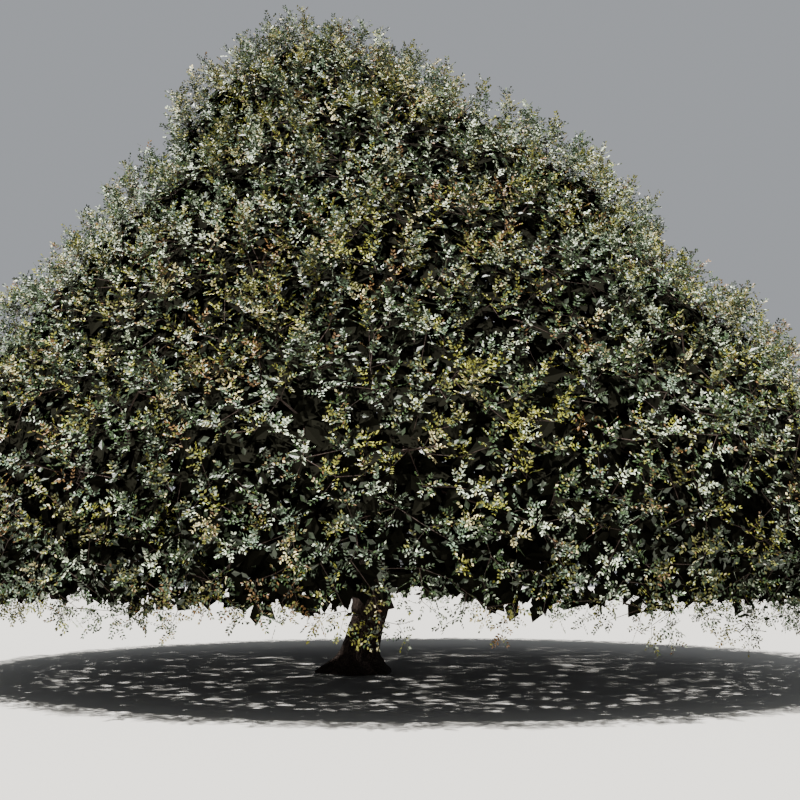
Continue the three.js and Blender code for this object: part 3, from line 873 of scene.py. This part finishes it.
def source_twigs(mass):
    """The main twigs of a mass, evenly turned about the way that it faces: each one's root and end."""
    draws = Draws(mass.seed + TWIG_SEED_STEP)
    golden = math.pi * (3 - math.sqrt(5))
    twigs = []
    for k in range(TWIGS_A_MASS):
        facing = 1 - TWIG_CAP * (k + FIRST_TWIG) / TWIGS_A_MASS + draws.swing(TWIG_FACING_JITTER)
        turn = k * golden + draws.swing(TWIG_TURN_JITTER)
        aslant = math.sqrt(max(0, 1 - facing * facing))
        way = np.array([facing, aslant * math.cos(turn), aslant * math.sin(turn)])
        room = float(mass.room(way, CELL_GAP))
        twigs.append((mass.at(way, TWIG_ROOT_SHARE * room), mass.at(way, TWIG_TIP_SHARE * room)))
        for _ in range(SPRAY_DRAWS):
            draws.next()
    return twigs


def spaced(points, spacing, taken):
    """Picks points, in their own order, that keep the spacing from each other and from those taken."""
    kept = np.empty((len(points) + len(taken), 3))
    count = len(taken)
    if count:
        kept[:count] = taken
    picked = []
    for i, point in enumerate(points):
        if count and ((kept[:count] - point) ** 2).sum(1).min() < spacing**2:
            continue
        kept[count] = point
        count += 1
        picked.append(i)
    return picked


def across_of(ways):
    """For each way, two directions square to it and to each other."""
    helper = np.where(np.abs(ways[:, 2:]) > 0.9, np.array([[1.0, 0, 0]]), UP[None])
    side = unit(np.cross(ways, helper))
    return side, np.cross(side, ways)


def canes(paths, radii):
    """Three-sided twigs along many paths at once, each closed at its far end."""
    count, steps, _ = paths.shape
    side, lift = across_of(unit(paths[:, -1] - paths[:, 0]))
    turn = np.arange(3) * 2 * np.pi / 3
    ring = turned(side[:, None], lift[:, None], turn)
    points = paths[:, :, None] + ring[:, None] * radii[:, :, None, None]
    faces = grid_faces(steps, 3)
    tip = np.arange(3) + 3 * (steps - 1)
    faces = np.vstack([faces, tip[None]])
    offsets = (np.arange(count) * steps * 3)[:, None, None]
    return points.reshape(-1, 3), (faces[None] + offsets).reshape(-1, 3)


def places_in(mass, rng, count, least_facing, set_in):
    """Places spread evenly over the mass's faces, with the way out there and a depth for each."""
    way = rng.uniform(-1, 1, (count, 3))
    areas = mass.half.prod() / mass.half * FACE_WEIGHTS
    face = (np.arange(count), rng.choice(3, size=count, p=areas / areas.sum()))
    way[face] = np.sign(way[face])
    way = unit(way)
    way = way[way[:, 0] > least_facing]
    share = mass.room(way, CELL_GAP)
    normal = mass.normal(way)
    depth = rng.uniform(*set_in, len(way)) * np.where(normal[:, 2] < UNDERSIDE, UNDERSIDE_SHARE, 1)
    return mass.at(way, share), normal, depth


def in_light(mass, points, out):
    """Which places lie near the crown's open face, and not deep between two masses."""
    underside = (mass.ring == "skirt") & (out[:, 2:] < UNDERSIDE)
    return ~inside_crown(points + mass.axes[0] * np.where(underside, BURIED_BELOW, BURIED), 0)


def creases(mass, skin, out, clumps):
    """The clump that each place belongs to, how far down the crease round it that is, up to 1, and how deep.
    Against a neighbour, where the crown isn't open, there are no creases."""
    spacing, deepest = CLUMPS[mass.ring]
    apart = np.linalg.norm(skin[:, None] - clumps[None], axis=-1)
    crease = np.clip(apart.min(1) / (CREASE_AT * spacing), 0, 1) ** 2
    crease = np.where(inside_crown(skin + mass.axes[0] * WALL, 0), 0, crease)
    return apart.argmin(1), crease, deepest * crease * np.where(out[:, 2] < UNDERSIDE, UNDERSIDE_SHARE, 1)


def fingers(mass, clumps, out, rng):
    """Upright fingers that stand out of the upper clumps: their shoots' roots, ways and clumps."""
    lit = ~inside_crown(clumps + mass.axes[0] * BURIED / 2, 0)
    clump = np.flatnonzero(lit & (out[:, 2] > FINGER_FACING))
    scatter = rng.normal(scale=FINGER_SCATTER, size=(len(clump), 3))
    axis = unit(out[clump] * FINGER_OUTWARD + UP * FINGER_UPWARD + scatter)
    foot = clumps[clump] - out[clump] * FINGER_SET_IN
    length = rng.uniform(*FINGER_LENGTH, len(clump))
    for _ in range(FINGER_SHRINK_STEPS):
        tips = foot + axis * (length + SHOOT_LENGTH)[:, None]
        length = np.where(inside_crown(tips, FINGER_RISE), length, length * FINGER_SHRINK)
    step = np.tile(np.arange(FINGER_SHOOTS), len(clump))
    share = (step + 1) / FINGER_SHOOTS
    clump, axis, foot, length = (np.repeat(a, FINGER_SHOOTS, 0) for a in (clump, axis, foot, length))
    side = unit(np.cross(axis, [1.0, 0, 0]))
    turn = step * LEAF_TURN + rng.normal(scale=FINGER_TURN_SCATTER, size=len(step))
    radial = turned(side, np.cross(side, axis), turn)
    roots = foot + axis * (share * length)[:, None]
    ways = unit(axis + radial * (FINGER_SPLAY * (1.1 - share))[:, None])
    good = mass.holds(roots, 0, FINGER_RISE)
    return roots[good], ways[good], clump[good]


def grow(mass, rng):
    """All that grows in one mass: twig paths and radii, and each shoot's root, way, length and clump."""
    stem_root = mass.bough.tip + mass.bough.enter * STEM_GAP
    stem_tip = mass.bough.tip + (mass.center - mass.bough.tip) * STEM_REACH
    nodes = [stem_root, stem_tip]
    path_back = [0.0, np.linalg.norm(stem_tip - stem_root)]
    main_paths = []
    main_radii = []
    for root, tip in source_twigs(mass):
        t = np.linspace(0, 1, MAIN_TWIG_STEPS)[:, None]
        bend = root + (stem_tip - root) * MAIN_TWIG_BEND
        line = (1 - t) ** 2 * stem_tip + 2 * t * (1 - t) * bend + t * t * tip
        main_paths.append(line)
        main_radii.append(np.linspace(*MAIN_TWIG_RADII, MAIN_TWIG_STEPS))
        nodes.extend(line[1:])
        lengths = np.linalg.norm(np.diff(line, axis=0), axis=1).cumsum()
        path_back.extend(path_back[1] + lengths)

    skin, clump_out, _ = places_in(mass, rng, CLUMPS_TRIED, FACING, (0, 1))
    first = spaced(skin, CLUMPS[mass.ring][0], [])
    clumps = skin[first]
    finger_places, finger_ways, finger_clump = fingers(mass, clumps, clump_out[first], rng)

    skin, out, depth = places_in(mass, rng, OUTER_TRIED, FACING, OUTER_SET_IN)
    clump, crease, sunk = creases(mass, skin, out, clumps)
    outer_places = skin - out * (depth + sunk)[:, None]
    good = in_light(mass, outer_places, out) & mass.holds(outer_places, 0) & clear_of_boughs(outer_places)
    good &= rng.random(len(skin)) > CREASE_THINNING * crease
    outer_places, out, clump, skin = outer_places[good], out[good], clump[good], skin[good]
    first = spaced(outer_places, OUTER_SPACING, finger_places)
    outer_places, out, clump = outer_places[first], out[first], clump[first]
    away = unit(skin[first] - clumps[clump] + out * CLUMP_ROUNDING)

    skin, inner_out, depth = places_in(mass, rng, INNER_TRIED, INNER_FACING, INNER_SET_IN)
    inner_places = skin - inner_out * depth[:, None]
    good = mass.holds(inner_places, 0) & clear_of_boughs(inner_places)
    inner_places, inner_out = inner_places[good], inner_out[good]
    second = spaced(inner_places, INNER_SPACING, outer_places)
    inner_places, inner_out = inner_places[second], inner_out[second]

    places = np.vstack([outer_places, inner_places])
    normals = np.vstack([out, inner_out])
    outer_lean = away * CLUMP_SPREAD + UP * np.where(out[:, 2:] < UNDERSIDE, 0.0, OUTER_UPWARD)
    lean = np.vstack([outer_lean, np.tile(UP * INNER_UPWARD, (len(inner_places), 1))])
    flatter = np.ones_like(normals)
    flatter[normals[:, 2] < UNDERSIDE, 2] = UNDERSIDE_FLATTENING
    ways = unit(normals * flatter + lean + rng.normal(scale=SHOOT_SCATTER, size=places.shape))
    places = np.vstack([finger_places, places])
    ways = np.vstack([finger_ways, ways])
    is_outer = np.arange(len(places)) < len(finger_places) + len(outer_places)
    lengths = SHOOT_LENGTH * rng.uniform(*SHOOT_LENGTHS, len(places))
    lengths[: len(finger_places)] *= FINGER_SHOOT_SHARE

    order = np.argsort(np.linalg.norm(places - stem_tip, axis=1))
    paths = np.empty((len(places), 3, 3))
    radii = np.empty((len(places), 3))
    for i in order:
        known = np.array(nodes)
        cost = np.linalg.norm(known - places[i], axis=1) + TWIG_WAY_BACK_COST * np.array(path_back)
        j = int(np.argmin(cost))
        reach = np.linalg.norm(places[i] - known[j])
        thick = min(FINE_TWIG_MOST, FINE_TWIG_RADIUS + FINE_TWIG_GROWTH * reach)
        paths[i] = known[j], places[i], places[i] + ways[i] * lengths[i] * SHOOT_TWIG_SHARE
        radii[i] = thick, *SHOOT_RADII
        nodes.append(places[i])
        path_back.append(path_back[j] + reach)
    return {
        "main": (np.array(main_paths), np.array(main_radii)),
        "twigs": (paths, radii),
        "stem": (np.array([stem_root, stem_tip])[None], np.array([STEM_RADII])),
        "roots": places,
        "ways": ways,
        "lengths": lengths,
        "outer": is_outer,
        "clump": np.concatenate([finger_clump, clump, np.full(len(inner_places), -1)]),
        "clumps": clumps,
        "casts": rng.choice(len(CAST_CHANCES), size=len(clumps), p=CAST_CHANCES),
    }


def blades(start, along, across, normal, length, width):
    """Many two-faced blades, each from its start along its own way."""
    start, along, across, normal = (a[:, None] for a in (start, along, across, normal))
    points = (
        start
        + along * (BLADE[:, 0] * length[:, None])[..., None]
        + across * (BLADE[:, 1] * width[:, None])[..., None]
        + normal * (BLADE[:, 2] * width[:, None] * FOLD)[..., None]
    )
    offsets = (np.arange(len(length)) * len(BLADE))[:, None, None]
    return points.reshape(-1, 3), (BLADE_FACES[None] + offsets).reshape(-1, 3)


def leaflets(base, way, face, size, pairs, rng):
    """The leaflets of many leaves at once, in pairs along a midrib that droops a little."""
    side = unit(np.cross(face, way))
    face = np.cross(way, side)
    hands = np.array([1, -1])
    ones = np.ones((len(base), pairs, 2))
    at = PAIR_PLACES[-pairs:][None, :, None] * ones
    rib = at * LEAF_LENGTH * size[:, None, None]
    turn = PAIR_ANGLES[-pairs:][None, :, None] + rng.normal(scale=LEAFLET_TURN_SCATTER, size=ones.shape)
    roll = rng.normal(scale=LEAFLET_ROLL, size=ones.shape)[..., None]
    base, way, side, face = (a[:, None, None] for a in (base, way, side, face))
    start = base + way * rib[..., None] - face * (MIDRIB_DROOP * rib * at)[..., None]
    along = way * np.cos(turn)[..., None] + side * (np.sin(turn) * hands)[..., None]
    normal = face + (side + way * 0.5) * roll
    across = unit(np.cross(normal, along))
    normal = np.cross(along, across)
    length = LEAFLET_LENGTH * size[:, None, None] * rng.uniform(*LEAF_SIZES, ones.shape)
    flat = [a.reshape(-1, 3) for a in (start, along, across, normal)]
    return blades(*flat, length.ravel(), length.ravel() * LEAFLET_WIDTH / LEAFLET_LENGTH)


def dealt(cast, rng):
    """A tint for each leaflet or shoot, by the shares of its clump's cast."""
    shares = np.array([tint[4] for tint in LEAF_TINTS]).T
    limits = shares.cumsum(1) / shares.sum(1, keepdims=True)
    return (rng.random(len(cast))[:, None] > limits[cast]).sum(1)


def shoot_leaves(mass, grown, kind, rng):
    """The leaves of the outer shoots or of the inner ones: corners, faces and tints."""
    chosen = np.flatnonzero(grown["outer"] == (kind == "outer"))
    number, pairs, scale = LEAVES[kind]
    root, way, length = (np.repeat(grown[key][chosen], number, 0) for key in ("roots", "ways", "lengths"))
    step = np.tile(np.arange(number), len(chosen))
    along = (step + FIRST_LEAF) / number
    first_turn = np.repeat(rng.uniform(0, 6.28, len(chosen)), number)
    turn = step * LEAF_TURN + first_turn + rng.normal(scale=LEAF_TURN_SCATTER, size=len(root))
    radial = turned(*across_of(way), turn)
    splay = LEAF_SPLAY[0] - LEAF_SPLAY[1] * along + rng.normal(scale=LEAF_SPLAY_SCATTER, size=len(root))
    leaf_way = unit(turned(way, radial, np.radians(splay)) + UP * LEAF_UPWARD)
    base = root + way * (along * length)[:, None] - way * LEAF_FOOT
    scatter = rng.normal(scale=LEAF_FACE_SCATTER, size=root.shape)
    face = unit(way * LEAF_FACING[0] + UP * LEAF_FACING[1] + scatter)
    size = rng.uniform(*LEAF_SIZES, len(root)) * scale
    points, faces = leaflets(base, leaf_way, face, size, pairs, rng)

    cast = grown["casts"][grown["clump"][chosen]]
    odd = rng.random(len(cast)) < ODD_SHOOTS
    cast = np.where(odd, rng.choice(len(CAST_CHANCES), size=len(cast), p=CAST_CHANCES), cast)
    # inner leaves take the darker inside shares: painted shade
    if kind == "inner":
        cast[:] = INNER_CAST
    tint = np.repeat(dealt(cast, rng), number)
    if kind == "outer":
        flush = np.repeat(rng.random(len(chosen)) < FLUSH_SHOOTS, number) & (step >= number - FLUSH_LEAVES)
        bronze = np.repeat(rng.random(len(chosen)) < FLUSH_BRONZE, number)
        tint = np.where(flush, np.where(bronze, BRONZE_TINT, YOUNG_TINT), tint)
    tint = np.repeat(tint, pairs * 2)
    stray = rng.random(len(tint)) < STRAY_LEAFLETS
    tint = np.where(stray, dealt(np.repeat(cast, number * pairs * 2), rng), tint)
    return points, faces, np.repeat(tint, len(BLADE_FACES))


def dark_leaves(start, out, size, green, rng):
    """Plain two-faced leaves at many places, turned every way but mostly face out, in deep green or
    near-black painted shade.
    """
    normal = unit(out + UP * SHADE_UPWARD + rng.normal(scale=SHADE_SCATTER, size=out.shape))
    along = unit(np.cross(normal, rng.normal(size=out.shape)))
    across = np.cross(normal, along)
    length = size * rng.uniform(*SHADE_SIZES, len(start))
    foot = start - along * length[:, None] / 2
    points, faces = blades(foot, along, across, normal, length, length * SHADE_WIDTH)
    # the leaves that aren't deep green are near-black painted shade
    tint = np.where(rng.random(len(start)) < green, DEEP_GREEN_TINT, PAINTED_SHADE_TINT)
    return points, faces, np.repeat(tint, len(BLADE_FACES))


def shade_leaves(mass, clumps, rng):
    """Plain leaves under the shoots, and in a shell inside the crown, that close the view through it. The
    shell's leaves and some of the others are near-black: painted shade.
    """
    skin, out, depth = places_in(mass, rng, SHADE_TRIED, FACING, SHADE_SET_IN)
    _, _, sunk = creases(mass, skin, out, clumps)
    underside = (mass.ring == "skirt") & (out[:, 2:] < UNDERSIDE)
    start = skin - np.where(underside, out, mass.axes[0]) * (depth + sunk)[:, None]
    keep = mass.holds(start, CELL_GAP) & clear_of_boughs(start)
    near = dark_leaves(start[keep], out[keep], SHADE_LENGTH, SHADE_GREEN, rng)

    tried = int(SHELL_DENSITY * (2 * SHELL_REACH * mass.half).prod())
    start = mass.center + (rng.uniform(-SHELL_REACH, SHELL_REACH, (tried, 3)) * mass.half) @ mass.axes
    least, most = (mass.axes[0] * depth for depth in SHELL_DEPTHS)
    in_shell = inside_crown(start + least, 0) & ~inside_crown(start + most, 0)
    start = start[in_shell & mass.holds(start, CELL_GAP)]
    waves = np.sin(SHELL_WAVE_RATES[0] * start[:, 0]) * np.cos(SHELL_WAVE_RATES[1] * start[:, 1] + 1)
    lowest = SHELL_LOWEST + SHELL_WAVE * waves
    start = start[(start[:, 2] > lowest) & clear_of_boughs(start)]
    # the shell's leaves are all near-black painted shade
    deep = dark_leaves(start, np.tile(mass.axes[0], (len(start), 1)), SHELL_LENGTH, 0, rng)
    return joined([near, deep])


def joined(parts):
    """Several meshes as one: corners, faces and whatever else goes with the faces."""
    points, faces, *rest = zip(*parts)
    firsts = np.cumsum([0] + [len(p) for p in points[:-1]])
    faces = np.vstack([face + first for face, first in zip(faces, firsts)])
    return (np.vstack(points), faces, *(np.concatenate(more) for more in rest))


for mass in masses:
    rng = np.random.default_rng(mass.seed)
    grown = grow(mass, rng)
    name = f"{mass.ring}_foliage_{mass.number}"
    parts = [shoot_leaves(mass, grown, kind, rng) for kind in ("outer", "inner")]
    points, faces, tints = joined(parts + [shade_leaves(mass, grown["clumps"], rng)])
    leaves = mesh_object(name + "_leaves", points, faces, LEAF_MATERIALS, tints)
    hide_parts(name)
    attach(leaves, "root")
    points, faces = joined([canes(*grown[key]) for key in ("stem", "main", "twigs")])
    twigs = mesh_object(name + "_twigs", points, faces, [TWIG_MATERIAL])
    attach(twigs, "root")
